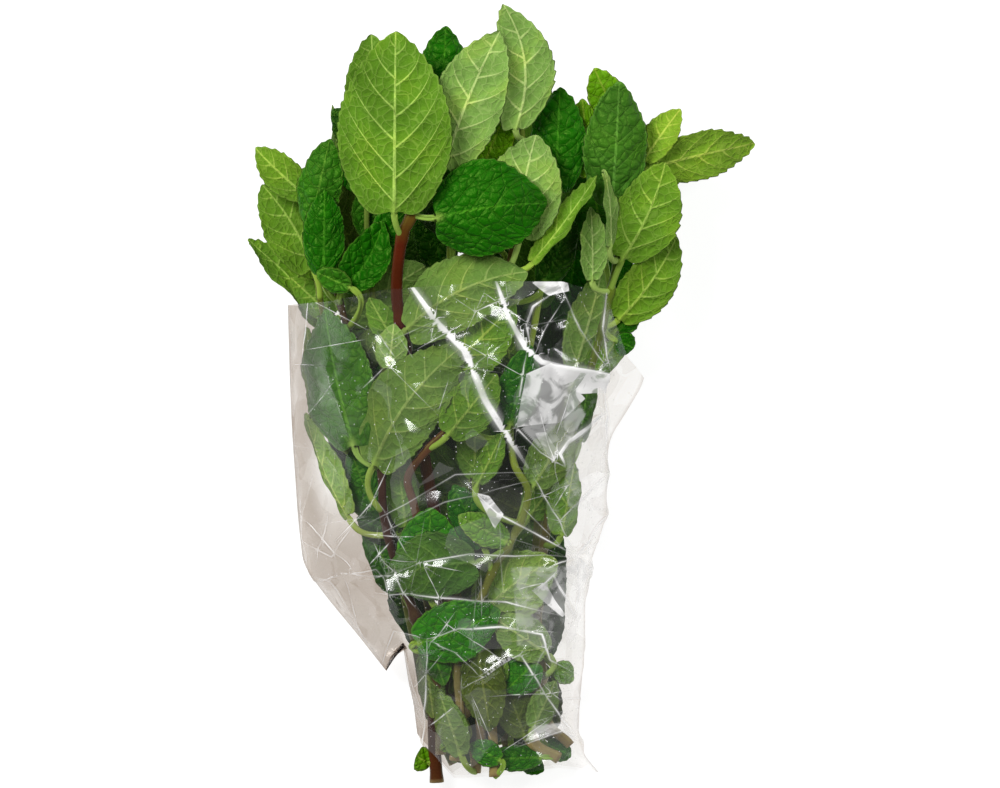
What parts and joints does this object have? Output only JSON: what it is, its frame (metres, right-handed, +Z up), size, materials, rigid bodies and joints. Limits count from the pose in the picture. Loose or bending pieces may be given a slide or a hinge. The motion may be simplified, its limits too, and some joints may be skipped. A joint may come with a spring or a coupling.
{
  "type": "mint bunch in clear sleeve",
  "caption": "Fresh mint sprigs with toothed leaves, bundled in a clear film sleeve open at both ends and lying on its back.",
  "frame": {"origin": "under the middle of the bunch, on the surface that it lies on", "axes": "+Y from the cut ends towards the leaf tips, +Z up from the surface, +X to the right seen from above"},
  "size_m": [0.1832, 0.2811, 0.0728],
  "materials": {
    "leaf_green": "fresh mint leaf and stem, slightly glossy above and matt below",
    "clear_film": "thin clear film, glossy and creased"
  },
  "bodies": {
    "root": {"front_sprig": "leaf_green", "left_sprig": "leaf_green", "far_left_sprig": "leaf_green", "middle_sprig": "leaf_green", "right_sprig": "leaf_green", "lower_sprig": "leaf_green", "inner_left_sprig": "leaf_green", "inner_sprig": "leaf_green", "back_left_sprig": "leaf_green", "back_middle_sprig": "leaf_green", "back_right_sprig": "leaf_green", "sleeve": "clear_film"}
  },
  "joints": []
}
